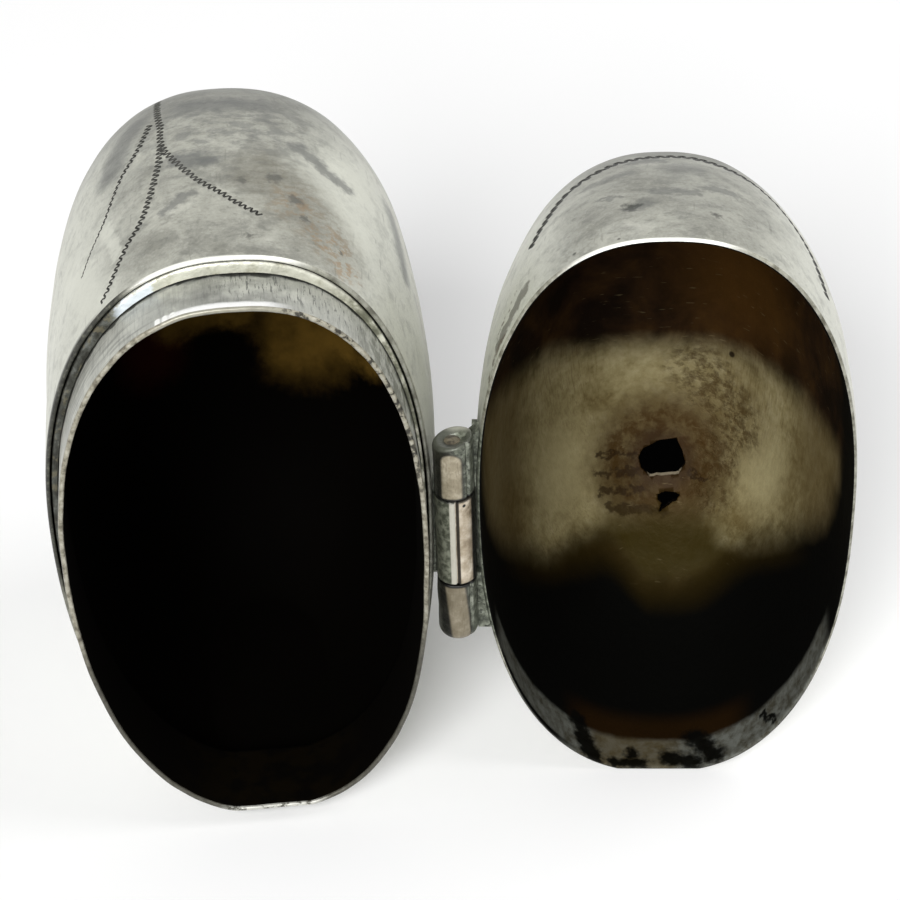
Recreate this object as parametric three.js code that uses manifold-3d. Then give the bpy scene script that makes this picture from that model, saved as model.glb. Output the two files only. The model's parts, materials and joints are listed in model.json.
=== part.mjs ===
// Silver perfume box: an egg shape flattened to an oval, cut in two and hinged along its side.
// It stands open on its narrow edges, mouths facing -Y and domed ends facing +Y. Millimetres, +Z up.
import * as THREE from "three";
import { mergeVertices } from "three/examples/jsm/utils/BufferGeometryUtils.js";
import Module from "manifold-3d";

// Oval mouth, shared by both halves. The power squares its corners, and the fullness widens its top.
const mouthThickness = 26;
const mouthHeight = 47.6;
const ovalPower = 2.35;
const ovalTopFullness = 0.03;
const sheet = 0.3;
const flatShave = 0.35;

// Deep half. A belly is how far the wall swells past the mouth, as a share of the mouth.
// It was raised by eye: its outer side, away from the hinge, is wider at the mouth but hardly swells.
const bodyLength = 33;
const bodyOuterSpare = 0.44;
const bodyOuterPower = 2.2;
const bodyOuterFullness = 0.06;
const bodyOuterBelly = 0.002;
const bodyHingePower = 2.46;
const bodyHingeBelly = 0.092;
const bodyBellyUp = 0.03;
const bodyWallPower = 5.6;
const bodyShoulderPower = 2.35;

// Shallow half.
const lidLength = 27;
const lidOuterSpare = 0.2;
const lidBellyAcross = 0.074;
const lidBellyUp = 0.03;
const lidWallPower = 1.3;
const lidShoulderPower = 3.8;
const lidShortOfFlat = 7.4;

// Rim ring inside the mouth of the body, and the bezel the lid closes over.
const solderGap = 0.03;
const ringDepth = 1.5;
const ringChamfer = 0.12;
const ringWidthHinge = 0.29;
const ringWidthEnds = 1.04;
const bezelSheet = 0.35;
const bezelProud = 3.8;
const bezelSeat = 2.4;
const bezelEdgeRound = 0.1;
const bezelSwingRoom = 0.05;

// Hinge of three knuckles on the line where the two mouth planes meet.
const knuckleRadius = 1.4;
const knuckleToWall = 0.15;
const lidUpperKnuckleLength = 4.3;
const bodyKnuckleLength = 7.5;
const lidLowerKnuckleLength = 5.3;
const bodyKnuckleDrop = 0.55;
const knuckleGap = 0.12;
const knuckleRound = 0.75;
const knuckleRoundBulge = 0.3;
const pinRadius = 0.4;
const pinClearance = 0.05;
const pinHeadRadius = 0.6;
const pinHeadHeight = 0.15;
const pinHeadCrown = 0.6;
const seamWidth = 0.16;
const seamDepth = 0.2;
const bodySeamAngle = 268;
const lidSeamAngle = 317;
const plateSetback = 0.2;
const bodyPlateDepth = 2.2;
const lidArmDepth = 1.4;
const lidArmRise = 1.5;
const lidPlateDepth = 2.6;
const lidStripSetback = 0.9;
const lidStripThickness = 0.3;
const swingClearance = 0.3;
const knuckleInPlate = 0.5;

// Holes worn through the domed end of the lid: place from its axis, size, and corner irregularity.
const largeHole = { x: 0.6, z: -13, width: 3.6, height: 2.7 };
const smallHole = { x: 1.1, z: -15.4, width: 1.9, height: 0.9 };
const holeCorners = 14;
const holeRaggedness = 0.13;

// Fineness of the curved faces.
const ovalSteps = 96;
const bodyRows = 14;
const lidRows = 13;
const roundSteps = 40;
const rowsForTurning = 1.5;

// How far a cutter or a plate that is cut back runs past the surface that trims it.
const overrun = 1;

const ovalHalfAcross = mouthThickness / 2;
const ovalHalfUp = mouthHeight / 2;
const hingeGap = knuckleRadius + knuckleToWall;
const axisToCentre = ovalHalfAcross + hingeGap;
const base = ovalHalfUp - flatShave;
const lidRimReach = axisToCentre + ovalHalfAcross + lidOuterSpare - sheet;
const bezelOuterReach = Math.sqrt(lidRimReach ** 2 - bezelProud ** 2) - axisToCentre - bezelSwingRoom;
const bezelInset = {
  left: ovalHalfAcross + bodyOuterSpare - bezelOuterReach,
  right: sheet + solderGap + ringWidthHinge + solderGap,
  ends: sheet + solderGap + ringWidthEnds + solderGap,
};
const knuckleTop = bodyKnuckleLength / 2 - bodyKnuckleDrop;
const knuckleBottom = knuckleTop - bodyKnuckleLength;
const hingeTop = knuckleTop + lidUpperKnuckleLength;
const hingeBottom = knuckleBottom - lidLowerKnuckleLength;

const body = {
  length: bodyLength,
  left: { spare: bodyOuterSpare, power: bodyOuterPower, fullness: bodyOuterFullness, belly: bodyOuterBelly },
  right: { spare: 0, power: bodyHingePower, fullness: ovalTopFullness, belly: bodyHingeBelly },
  bellyUp: bodyBellyUp,
  wallPower: bodyWallPower,
  shoulderPower: bodyShoulderPower,
  rows: bodyRows,
};
const lidSide = { spare: 0, power: ovalPower, fullness: ovalTopFullness, belly: lidBellyAcross };
const lid = {
  length: lidLength,
  left: lidSide,
  right: { ...lidSide, spare: lidOuterSpare },
  bellyUp: lidBellyUp,
  wallPower: lidWallPower,
  shoulderPower: lidShoulderPower,
  rows: lidRows,
};

const wasm = await Module();
wasm.setup();

function signedPower(value, power) {
  return Math.sign(value) * Math.abs(value) ** power;
}

// How wide the shell is at a share of its depth: 1 at the mouth, 0 at the crown.
function shellScale(half, share, belly) {
  const swell = 1 + 4 * belly * share * (1 - share);
  return swell * Math.max(0, 1 - share ** half.wallPower) ** (1 / half.shoulderPower);
}

// The same inset on every side of an oval, or an inset with more added to it.
function evenInset(inset) {
  return { left: inset, right: inset, ends: inset };
}

function addInset(inset, more) {
  return { left: inset.left + more, right: inset.right + more, ends: inset.ends + more };
}

// One point of a half's oval at a share of its depth, taken in by an inset.
function ovalPoint(half, step, inset, share) {
  const angle = (2 * Math.PI * step) / ovalSteps;
  const name = Math.cos(angle) < 0 ? "left" : "right";
  const side = half[name];
  const x = signedPower(Math.cos(angle), 2 / side.power);
  const z = signedPower(Math.sin(angle), 2 / side.power);
  const across = (ovalHalfAcross + side.spare - inset[name]) * shellScale(half, share, side.belly);
  const up = (ovalHalfUp - inset.ends) * shellScale(half, share, half.bellyUp);
  return [x * (1 + side.fullness * z) * across, Math.max(z * up, inset.ends - base)];
}

// Depths for the rows of a shell, closer together where its outline turns.
function rowShares(half) {
  const fine = 800;
  const shares = [];
  for (let i = 0; i <= fine; i += 1) {
    shares.push(1 - (1 - i / fine) ** 3);
  }
  const measure = [0];
  let heading = 0;
  for (let i = 1; i <= fine; i += 1) {
    const across = ovalHalfAcross * (shellScale(half, shares[i], half.right.belly)
      - shellScale(half, shares[i - 1], half.right.belly));
    const along = half.length * (shares[i] - shares[i - 1]);
    const next = Math.atan2(-across, along);
    const turn = i === 1 ? 0 : Math.abs(next - heading);
    measure.push(measure[i - 1] + Math.hypot(across, along) / half.length + turn * rowsForTurning);
    heading = next;
  }
  const rows = [];
  for (let row = 0; row < half.rows; row += 1) {
    const wanted = (measure[fine] * row) / half.rows;
    rows.push(shares[measure.findIndex((value) => value >= wanted)]);
  }
  return rows;
}

function geometryFrom(points, faces) {
  const geometry = new THREE.BufferGeometry();
  geometry.setAttribute("position", new THREE.Float32BufferAttribute(points.flat(), 3));
  geometry.setIndex(faces.flat());
  return geometry;
}

// Rings of ovalSteps points joined one to the next; closed lists come back to the first ring.
function joinRings(faces, first, second) {
  for (let step = 0; step < ovalSteps; step += 1) {
    const next = (step + 1) % ovalSteps;
    faces.push([first + step, second + step, second + next]);
    faces.push([first + step, second + next, first + next]);
  }
}

function capRing(faces, ring, pole, outward) {
  for (let step = 0; step < ovalSteps; step += 1) {
    const next = (step + 1) % ovalSteps;
    faces.push(outward ? [ring + step, pole, ring + next] : [ring + step, ring + next, pole]);
  }
}

function shellRings(points, half, inset) {
  for (const share of rowShares(half)) {
    for (let step = 0; step < ovalSteps; step += 1) {
      const [x, z] = ovalPoint(half, step, evenInset(inset), share);
      points.push([x, share * (half.length - inset), z]);
    }
  }
  points.push([0, half.length - inset, 0]);
}

// A cup of sheet metal with one outer and one inner surface.
function cup(half) {
  const points = [];
  const faces = [];
  shellRings(points, half, 0);
  const inner = points.length;
  shellRings(points, half, sheet);
  for (let row = 0; row + 1 < half.rows; row += 1) {
    joinRings(faces, row * ovalSteps, (row + 1) * ovalSteps);
    joinRings(faces, inner + (row + 1) * ovalSteps, inner + row * ovalSteps);
  }
  capRing(faces, (half.rows - 1) * ovalSteps, inner - 1, true);
  capRing(faces, inner + (half.rows - 1) * ovalSteps, points.length - 1, false);
  joinRings(faces, inner, 0);
  return geometryFrom(points, faces);
}

// The same outline filled in, used to trim what is soldered to the outside of a half.
function filledHalf(half, growth) {
  const points = [];
  const faces = [];
  shellRings(points, half, -growth);
  for (let row = 0; row + 1 < half.rows; row += 1) {
    joinRings(faces, row * ovalSteps, (row + 1) * ovalSteps);
  }
  capRing(faces, (half.rows - 1) * ovalSteps, points.length - 1, true);
  points.push([0, 0, 0]);
  capRing(faces, 0, points.length - 1, false);
  return geometryFrom(points, faces);
}

// A closed band round the body's mouth; corners are [inset, depth].
function ovalBand(corners) {
  const points = [];
  const faces = [];
  for (const [inset, depth] of corners) {
    for (let step = 0; step < ovalSteps; step += 1) {
      const [x, z] = ovalPoint(body, step, inset, 0);
      points.push([x, depth, z]);
    }
  }
  for (let corner = 0; corner < corners.length; corner += 1) {
    joinRings(faces, corner * ovalSteps, ((corner + 1) % corners.length) * ovalSteps);
  }
  return geometryFrom(points, faces);
}

function seatRing() {
  const outer = evenInset(sheet + solderGap);
  const inner = addInset(bezelInset, -solderGap);
  return ovalBand([
    [outer, ringChamfer],
    [outer, ringDepth],
    [inner, ringDepth],
    [inner, 0],
    [addInset(outer, ringChamfer), 0],
  ]);
}

function bezel() {
  const front = -bezelProud;
  const corner = (inset, depth) => [addInset(bezelInset, inset), depth];
  return ovalBand([
    corner(0, front + bezelEdgeRound),
    corner(0, bezelSeat),
    corner(bezelSheet, bezelSeat),
    corner(bezelSheet, front + bezelEdgeRound),
    corner(bezelSheet - bezelEdgeRound, front),
    corner(bezelEdgeRound, front),
  ]);
}

function toSolid(geometry) {
  const bare = geometry.clone();
  bare.deleteAttribute("normal");
  bare.deleteAttribute("uv");
  const welded = mergeVertices(bare, 1e-5);
  return new wasm.Manifold(new wasm.Mesh({
    numProp: 3,
    vertProperties: new Float32Array(welded.attributes.position.array),
    triVerts: new Uint32Array(welded.index.array),
  }));
}

function fromSolid(solid) {
  const mesh = solid.getMesh();
  const geometry = new THREE.BufferGeometry();
  geometry.setAttribute("position", new THREE.BufferAttribute(new Float32Array(mesh.vertProperties), 3));
  geometry.setIndex(new THREE.BufferAttribute(new Uint32Array(mesh.triVerts), 1));
  return geometry;
}

function block(x0, x1, y0, y1, z0, z1) {
  const geometry = new THREE.BoxGeometry(x1 - x0, y1 - y0, z1 - z0);
  geometry.translate((x0 + x1) / 2, (y0 + y1) / 2, (z0 + z1) / 2);
  return toSolid(geometry);
}

// A turned solid on the hinge line; corners are [radius, height] from bottom to top.
function turned(corners) {
  const profile = corners.map(([radius, height]) => new THREE.Vector2(radius, height));
  const geometry = new THREE.LatheGeometry(profile, roundSteps);
  geometry.rotateX(Math.PI / 2);
  return toSolid(geometry);
}

function rod(radius, bottom, top) {
  return turned([[0, bottom], [radius, bottom], [radius, top], [0, top]]);
}

// A worn hole: an uneven outline pushed through the domed end along the depth of the lid.
function wornHole(hole) {
  const outline = [];
  for (let corner = 0; corner < holeCorners; corner += 1) {
    const angle = (2 * Math.PI * corner) / holeCorners;
    const uneven = 1 + holeRaggedness * Math.sin(3 * angle + 0.8) * Math.cos(2 * angle);
    const x = (hole.width / 2) * Math.cos(angle) * uneven;
    const z = (hole.height / 2) * Math.sin(angle) * uneven;
    outline.push(new THREE.Vector2(hole.x + x, -hole.z - z));
  }
  const geometry = new THREE.ExtrudeGeometry(new THREE.Shape(outline), {
    depth: lidLength,
    bevelEnabled: false,
    steps: 1,
  });
  geometry.rotateX(-Math.PI / 2);
  return toSolid(geometry);
}

function lidShell() {
  let solid = toSolid(cup(lid));
  for (const hole of [largeHole, smallHole]) {
    solid = solid.subtract(wornHole(hole));
  }
  return fromSolid(solid);
}

// Rolled knuckle with a bore for the pin, a rounded outer end and the seam of the rolled sheet.
function knuckle(bottom, top, roundBottom, roundTop) {
  const r = knuckleRadius;
  const corners = [];
  corners.push([0, bottom], [r - roundBottom, bottom]);
  if (roundBottom > 0) {
    const bulge = roundBottom * knuckleRoundBulge;
    corners.push([r - bulge, bottom + bulge], [r, bottom + roundBottom]);
  }
  if (roundTop > 0) {
    const bulge = roundTop * knuckleRoundBulge;
    corners.push([r, top - roundTop], [r - bulge, top - bulge]);
  }
  corners.push([r - roundTop, top], [0, top]);
  const bore = rod(pinRadius + pinClearance, bottom - overrun, top + overrun);
  return turned(corners).subtract(bore);
}

// The groove of the rolled sheet's edge, at an angle round the hinge line.
function seam(angle) {
  const groove = block(knuckleRadius - seamDepth, knuckleRadius + overrun, -seamWidth / 2, seamWidth / 2,
    hingeBottom - overrun, hingeTop + overrun);
  return groove.rotate([0, 0, angle]);
}

function knuckleClearance(bottom, top, gap) {
  return rod(knuckleRadius + gap, bottom, top);
}

function bodyKnuckle() {
  const solid = knuckle(knuckleBottom + knuckleGap / 2, knuckleTop - knuckleGap / 2, 0, 0);
  return fromSolid(solid.subtract(seam(bodySeamAngle)));
}

function lidKnuckle(upper) {
  const solid = upper
    ? knuckle(knuckleTop + knuckleGap / 2, hingeTop, 0, knuckleRound)
    : knuckle(hingeBottom, knuckleBottom - knuckleGap / 2, knuckleRound, 0);
  return fromSolid(solid.subtract(seam(lidSeamAngle)));
}

function hingePin() {
  const bottom = hingeBottom - solderGap;
  const top = hingeTop + solderGap;
  return fromSolid(turned([
    [0, bottom - pinHeadHeight],
    [pinHeadRadius * pinHeadCrown, bottom - pinHeadHeight * pinHeadCrown],
    [pinHeadRadius, bottom],
    [pinRadius, bottom],
    [pinRadius, top],
    [pinHeadRadius, top],
    [pinHeadRadius * pinHeadCrown, top + pinHeadHeight * pinHeadCrown],
    [0, top + pinHeadHeight],
  ]));
}

// The plate that joins the middle knuckle to the wall of the body.
function bodyPlate() {
  const wall = toSolid(filledHalf(body, solderGap)).translate([-axisToCentre, 0, 0]);
  const plate = block(-hingeGap - overrun, -knuckleRadius + knuckleInPlate, plateSetback, bodyPlateDepth,
    knuckleBottom + knuckleGap, knuckleTop - knuckleGap);
  return fromSolid(plate.subtract(wall).subtract(knuckleClearance(hingeBottom, hingeTop, solderGap)));
}

// One arm of the lid's plate, from a knuckle to the wall, where its top stands higher by the rise.
function lidArm(bottom, top, rise) {
  const inner = knuckleRadius - knuckleInPlate;
  const outer = hingeGap + overrun;
  const geometry = new THREE.BoxGeometry(outer - inner, lidArmDepth - plateSetback, top - bottom);
  const corners = geometry.getAttribute("position");
  for (let corner = 0; corner < corners.count; corner += 1) {
    if (corners.getX(corner) > 0 && corners.getZ(corner) > 0) {
      corners.setZ(corner, corners.getZ(corner) + rise);
    }
  }
  geometry.translate((inner + outer) / 2, (plateSetback + lidArmDepth) / 2, (bottom + top) / 2);
  return toSolid(geometry);
}

// The plate along the wall of the lid, cut back behind the middle knuckle.
function lidPlate() {
  const wall = toSolid(filledHalf(lid, solderGap)).translate([axisToCentre, 0, 0]);
  const strip = block(hingeGap - lidStripThickness, hingeGap + overrun, lidStripSetback, lidPlateDepth,
    hingeBottom + knuckleGap, hingeTop - knuckleGap);
  const upper = lidArm(knuckleTop + knuckleGap, hingeTop - knuckleGap, lidArmRise);
  const lower = lidArm(hingeBottom + knuckleGap, knuckleBottom - knuckleGap, 0);
  return fromSolid(strip.add(upper).add(lower).subtract(wall)
    .subtract(knuckleClearance(hingeBottom - overrun, hingeTop + overrun, solderGap))
    .subtract(knuckleClearance(knuckleBottom + knuckleGap, knuckleTop - knuckleGap, swingClearance)));
}

function silver(colour, roughness) {
  return new THREE.MeshStandardMaterial({ color: colour, roughness, metalness: 1 });
}

const box = new THREE.Group();
box.name = "perfume_box";

function addPiece(name, geometry, material, place) {
  place(geometry);
  const flat = geometry.index ? geometry.toNonIndexed() : geometry;
  flat.computeVertexNormals();
  const mesh = new THREE.Mesh(flat, material);
  mesh.name = name;
  box.add(mesh);
}

function onBodyCentre(geometry) {
  geometry.translate(-axisToCentre, 0, base);
}

function onHingeLine(geometry) {
  geometry.translate(0, 0, base);
}

function turnedWithLid(geometry) {
  geometry.rotateZ(-THREE.MathUtils.degToRad(lidShortOfFlat));
  geometry.translate(0, 0, base);
}

function onLidCentre(geometry) {
  geometry.translate(axisToCentre, 0, 0);
  turnedWithLid(geometry);
}

addPiece("body_shell", cup(body), silver(0xb4afa6, 0.36), onBodyCentre);
addPiece("seat_ring", seatRing(), silver(0xc9c4b8, 0.3), onBodyCentre);
addPiece("bezel", bezel(), silver(0xa8a6a3, 0.34), onBodyCentre);
addPiece("body_hinge_plate", bodyPlate(), silver(0x7f8078, 0.5), onHingeLine);
addPiece("body_knuckle", bodyKnuckle(), silver(0xb9ad9b, 0.3), onHingeLine);
addPiece("hinge_pin", hingePin(), silver(0x9d9488, 0.4), onHingeLine);
addPiece("lid_shell", lidShell(), silver(0xb1aca2, 0.36), onLidCentre);
addPiece("lid_hinge_plate", lidPlate(), silver(0x848a84, 0.48), turnedWithLid);
addPiece("lid_upper_knuckle", lidKnuckle(true), silver(0xb9ad9b, 0.3), turnedWithLid);
addPiece("lid_lower_knuckle", lidKnuckle(false), silver(0xb5a998, 0.32), turnedWithLid);

// The origin is under the middle of the whole object.
const bounds = new THREE.Box3().setFromObject(box);
const middle = bounds.getCenter(new THREE.Vector3());
for (const mesh of box.children) {
  mesh.geometry.translate(-middle.x, -middle.y, -bounds.min.z);
}

export default box;
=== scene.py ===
"""Looks for the silver scent box: finer shells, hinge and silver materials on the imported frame."""
import json
import math
import bpy
import numpy as np
from mathutils import Matrix, Vector, noise
from mathutils.bvhtree import BVHTree


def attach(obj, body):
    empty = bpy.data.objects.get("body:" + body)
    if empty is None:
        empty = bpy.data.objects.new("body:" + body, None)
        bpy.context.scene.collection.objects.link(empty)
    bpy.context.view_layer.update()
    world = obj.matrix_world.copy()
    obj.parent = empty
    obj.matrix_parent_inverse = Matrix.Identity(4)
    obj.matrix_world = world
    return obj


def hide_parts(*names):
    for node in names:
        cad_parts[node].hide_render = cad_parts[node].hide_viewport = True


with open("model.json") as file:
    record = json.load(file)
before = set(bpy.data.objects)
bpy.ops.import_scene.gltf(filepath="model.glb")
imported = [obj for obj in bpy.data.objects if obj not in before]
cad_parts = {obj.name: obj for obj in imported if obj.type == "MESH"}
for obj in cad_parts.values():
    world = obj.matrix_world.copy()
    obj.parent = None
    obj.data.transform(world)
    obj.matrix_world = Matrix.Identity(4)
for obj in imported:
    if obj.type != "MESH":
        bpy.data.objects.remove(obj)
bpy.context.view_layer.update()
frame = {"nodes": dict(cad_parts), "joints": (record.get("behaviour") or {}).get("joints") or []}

# Sizes in millimetres, as in the CAD model; MM turns them into the frame's metres.
MM = 0.001
HALF_ACROSS = 13.0
HALF_UP = 23.8
SHEET = 0.3
BASE = 23.45
BODY = {"length": 33.0, "up": 0.03, "wall": 5.6, "shoulder": 2.35,
        "left": {"spare": 0.44, "power": 2.2, "fullness": 0.06, "belly": 0.002},
        "right": {"spare": 0.0, "power": 2.46, "fullness": 0.03, "belly": 0.092}}
LID_SIDE = {"spare": 0.0, "power": 2.35, "fullness": 0.03, "belly": 0.074}
LID_OUTER_SIDE = {**LID_SIDE, "spare": 0.2}
LID = {"length": 27.0, "up": 0.03, "wall": 1.3, "shoulder": 3.8, "left": LID_SIDE, "right": LID_OUTER_SIDE}
RING_INSET = 0.42
RING_DEPTH = 1.5
BEZEL_INSET = {"left": 0.854, "right": 0.65, "ends": 1.4}
BEZEL_SHEET = 0.35
BEZEL_PROUD = 3.8
BEZEL_SEAT = 2.4
SOLDER_GAP = 0.03
KNUCKLE_RADIUS = 1.4
KNUCKLE_BORE = 0.42
KNUCKLE_ROUND = 0.75
KNUCKLE_TOP_ROUND = 0.35
KNUCKLE_SLOPE = 0.8
KNUCKLE_GAP = 0.06
PIN_HEAD = 0.62
KNUCKLE_LEVELS = (-9.6, -4.3, 3.2, 7.5)
HINGE_GAP = 1.55
BODY_SEAM = 268
LID_SEAM = 317

# Details that only the visible meshes have. MOUTH_SPARE keeps the two uneven rims apart when closed. Edges
# are (inset, depth), the ring's profile (share of its width, depth) and dents (place, radius, depth).
MOUTH_SPARE = 0.01
EDGE = (0.0, 0.4), (0.02, 0.2), (0.06, 0.09), (0.13, 0.02), (0.19, 0.0), (SHEET - 0.05, 0.0), (SHEET, 0.05)
BEZEL_EDGE = (0.02, 0.09), (0.07, 0.02), (0.14, 0.0), (BEZEL_SHEET - 0.12, 0.0), (BEZEL_SHEET - 0.03, 0.04)
BEZEL_ROUND = 0.2
RING_PROFILE = ((0, 0.15), (0, RING_DEPTH), (1, RING_DEPTH), (1, 0.1), (0.92, 0.0), (0.86, 0.0), (0.6, 0.0),
                (0.3, 0.0), (0.08, 0.03))
KNUCKLE_SOFT = 0.1
KNUCKLE_SLOPE_LENGTH = 2.2
SEAM_DEPTH = 0.2
SEAM_WIDTH = 0.08
BODY_DENTS = [((7.4, 12.3, 22.1), 1.6, 0.28), ((12.9, 16.5, 11.9), 2.5, 0.2), ((3.0, 16.0, 24.2), 2.2, 0.08)]
LID_DENTS = [((-2.45, 4.7, 23.3), 0.6, 0.22), ((-10.3, 1.6, 16.5), 1.6, 0.12)]
FILM_INSETS = 0.05, 0.13
FILM_SPREAD = 1.03
HOLE_CUT = 15, 30

# Hand-made waviness: size of its features and height. A shell's runs outward from a centre at a share of its
# length, with a share of it left at the mouth and all of it some millimetres behind.
SHELL_WAVES = (0, 9.0, 0.16), (5, 3.2, 0.05)
WAVE_CENTRE = 0.3
WAVES_WHOLE = 4
WAVES_AT_MOUTH = 0.1
KNUCKLE_WAVES = 1.6, 0.06
BAND_WAVE = 3.0
BAND_EDGE_WAVE = 1.6
BEZEL_WAVE = 0.05
HOLE_WAVE = 0.09

# Fineness of the visible meshes.
STEPS = 360
SHELL_ROWS = 96
BEZEL_ROWS = 20
BARREL_STEPS = 96
BARREL_ROWS = 16
ROUND_STEPS = 7
CURVE_STEPS = 40
HALVINGS = 40

# Zones of a shell or band, as numbers of its materials.
OUTSIDE, RIM, INSIDE = 0, 1, 2

# Walked zigzag engraving: pitch, half its width at the start and end of each line, and each cut's width,
# as a share of the greatest half width, and depth. A cut is widest between two shares of its length.
BODY_PITCH = 0.5
STEM_REACHES = 0.34, 0.26
LEFT_REACHES = 0.34, 0.1
MIDDLE_REACHES = 0.34, 0.28
LID_PITCH = 0.76
LID_REACHES = 0.6, 0.7
CUT_SHARE = 0.5
CUT_DEPTH = 0.08
CUT_LIFT = 0.03
CUT_WIDEST = 0.14, 0.8
LINE_SPACING = 0.05
ABOVE_SHELLS = 40

# How unevenly the zigzag is walked, as (share, changes in a millimetre, row of the noise).
PITCH_SWAY = 0.25, 3, 0
REACH_SWAY = 0.35, 2, 5

# The engraved lines, as places (across, depth) on the tops of the two halves.
STEM = [(-3.9, 23.9), (-3.9, 19.9), (-3.7, 17.3), (-3.7, 15.1), (-3.4, 13.5), (-2.4, 11.1), (-1.1, 8.8),
        (0.2, 7.2), (1.4, 5.8), (2.9, 4.4)]
LEFT_SPRAY = [(-4.4, 18.4), (-5.1, 16.0), (-5.9, 14.3), (-6.6, 13.1), (-7.8, 9.8), (-8.8, 8.0), (-9.6, 6.4)]
MIDDLE_SPRAY = [(-3.7, 14.6), (-3.9, 12.1), (-4.5, 8.9), (-5.2, 6.3), (-6.4, 4.3), (-7.5, 1.9), (-8.2, 0.8)]
GARLAND = [(-9.2, 6.9), (-8.6, 8.4), (-7.5, 10.6), (-6.5, 12.2), (-5.2, 12.9), (-3.8, 14.0), (-1.2, 14.8),
           (1.1, 15.1), (2.3, 14.8), (4.4, 14.0), (6.3, 12.9), (8.0, 11.4), (9.5, 9.0), (10.3, 6.8),
           (10.8, 4.0)]

# Outlines of the two holes worn through the lid, as places (across, up).
LARGE_HOLE = [(-1.1, -12.8), (-0.7, -12.2), (0.7, -11.6), (1.9, -11.4), (2.4, -12.3), (2.6, -13.1),
              (2.1, -13.8), (1.0, -14.0), (-0.2, -14.1), (-0.9, -13.5)]
SMALL_HOLE = [(0.4, -15.2), (1.0, -15.0), (1.7, -15.0), (2.2, -15.1), (1.9, -15.5), (1.4, -15.7),
              (0.9, -16.0), (0.5, -16.2), (0.7, -15.7), (0.4, -15.5)]

# The photograph's camera: place and aim from the hinge's middle in millimetres, roll in degrees, focal
# length in image widths, film width in millimetres and nearest distance in metres.
CAMERA_PLACE = (-12.13, -155.19, 125.29)
CAMERA_AIM = (0.06, 3.29, 4.19)
CAMERA_ROLL = 2.0
FOCAL_WIDTHS = 2855 / 900
FILM_WIDTH = 36
NEAREST = 0.01

# Colours that several materials share.
# Worn polish with a painted highlight, for the tops of the two rims.
POLISH_AND_HIGHLIGHT = (246, 246, 238)
# Near-black grime with painted shade, for the knuckles' shaded sides and their joints.
GRIME_AND_SHADE = (12, 12, 9)
# Black painted as the shade inside the deep half and the bezel.
INSIDE_SHADE = (3, 2, 1)
DARKEST = (2, 2, 1)

# Light: the white room's strength on the part, the paper's lightness and its own glow to the camera, the
# floor's reach in metres, and two square lamps as (name, place in metres, side in metres, power in watts).
ROOM_LIGHT = 0.28
PAPER = 0.84
PAPER_GLOW = 0.16
FLOOR_REACH = 2.0
LAMPS = ("key", (-0.40, -1.10, 0.88), 0.6, 21.5), ("fill", (0.80, 0.0, 0.90), 0.8, 5.0)
LAMP_AIM = (0, 0, 0.02)

# Places of the hinge, the body's mouth, the lid's hinge as it stands open, and the lid's mouth.
joint = frame["joints"][0]
hinge_x, hinge_y, _ = joint["pos_m"]
TILT = math.radians(joint["range_deg"][1])
HINGE = Vector((hinge_x, hinge_y, BASE * MM))
TO_CENTRE = (HALF_ACROSS + HINGE_GAP) * MM
HINGE_PLACE = Matrix.Translation(HINGE)
BODY_PLACE = HINGE_PLACE @ Matrix.Translation((-TO_CENTRE, 0, 0))
LID_HINGE_PLACE = HINGE_PLACE @ Matrix.Rotation(-TILT, 4, "Z")
LID_PLACE = LID_HINGE_PLACE @ Matrix.Translation((TO_CENTRE, 0, 0))


# Meshes.

def shell_scale(half, share, belly):
    swell = 1 + 4 * belly * share * (1 - share)
    return swell * max(0.0, 1 - share ** half["wall"]) ** (1 / half["shoulder"])


def even_inset(inset):
    return {"left": inset, "right": inset, "ends": inset}


def more_inset(inset, more):
    return {name: value + more for name, value in inset.items()}


def oval_reach(half, name, share, inset):
    """How far the left or right side of a half's oval, taken in by the inset, reaches across and up."""
    side = half[name]
    across = (HALF_ACROSS + side["spare"] - inset[name]) * shell_scale(half, share, side["belly"])
    return across, (HALF_UP - inset["ends"]) * shell_scale(half, share, half["up"])


def oval(half, share, inset):
    """Points of a half's oval at a share of its depth, from its top and on towards -X, with its flat."""
    angle = math.pi / 2 + 2 * math.pi * np.arange(STEPS) / STEPS
    across, upward = np.cos(angle), np.sin(angle)
    x, z = np.zeros(STEPS), np.zeros(STEPS)
    for name, own in (("left", across < 0), ("right", across >= 0)):
        side = half[name]
        reach, up = oval_reach(half, name, share, inset)
        z[own] = (np.sign(upward) * np.abs(upward) ** (2 / side["power"]))[own]
        x[own] = (np.sign(across) * np.abs(across) ** (2 / side["power"]) * reach)[own]
        x[own] *= 1 + side["fullness"] * z[own]
        z[own] *= up
    return x, np.maximum(z, inset["ends"] - BASE)


def oval_row(half, share, inset, depth):
    x, z = oval(half, share, inset)
    return np.stack([x, np.full(STEPS, depth), z], 1)


def shell_row(half, depth, inset):
    return oval_row(half, min(1.0, depth / (half["length"] - inset)), even_inset(inset), depth)


def shell_shares(half):
    """Depths of a shell's rows as shares of its length, close together at the crown."""
    turn, last_width = 0.8, 0.015
    near = np.linspace(0, turn, SHELL_ROWS // 2, endpoint=False)[1:]
    width = (1 - turn ** half["wall"]) ** (1 / half["shoulder"])
    far = np.linspace(width, last_width, SHELL_ROWS // 2)
    return list(near) + list((1 - far ** half["shoulder"]) ** (1 / half["wall"]))


def crown_depth(half, x, z, inset):
    """Depth at which a shell's surface, taken in by the inset, passes over a place near its crown."""
    near, far = 0.5 * half["length"], half["length"] - inset
    name = "left" if x < 0 else "right"
    power = half[name]["power"]
    for _ in range(HALVINGS):
        depth = (near + far) / 2
        across, up = oval_reach(half, name, depth / (half["length"] - inset), even_inset(inset))
        outside = abs(x / across) ** power + abs(z / up) ** power > 1
        near, far = (near, depth) if outside else (depth, far)
    return near


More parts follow.
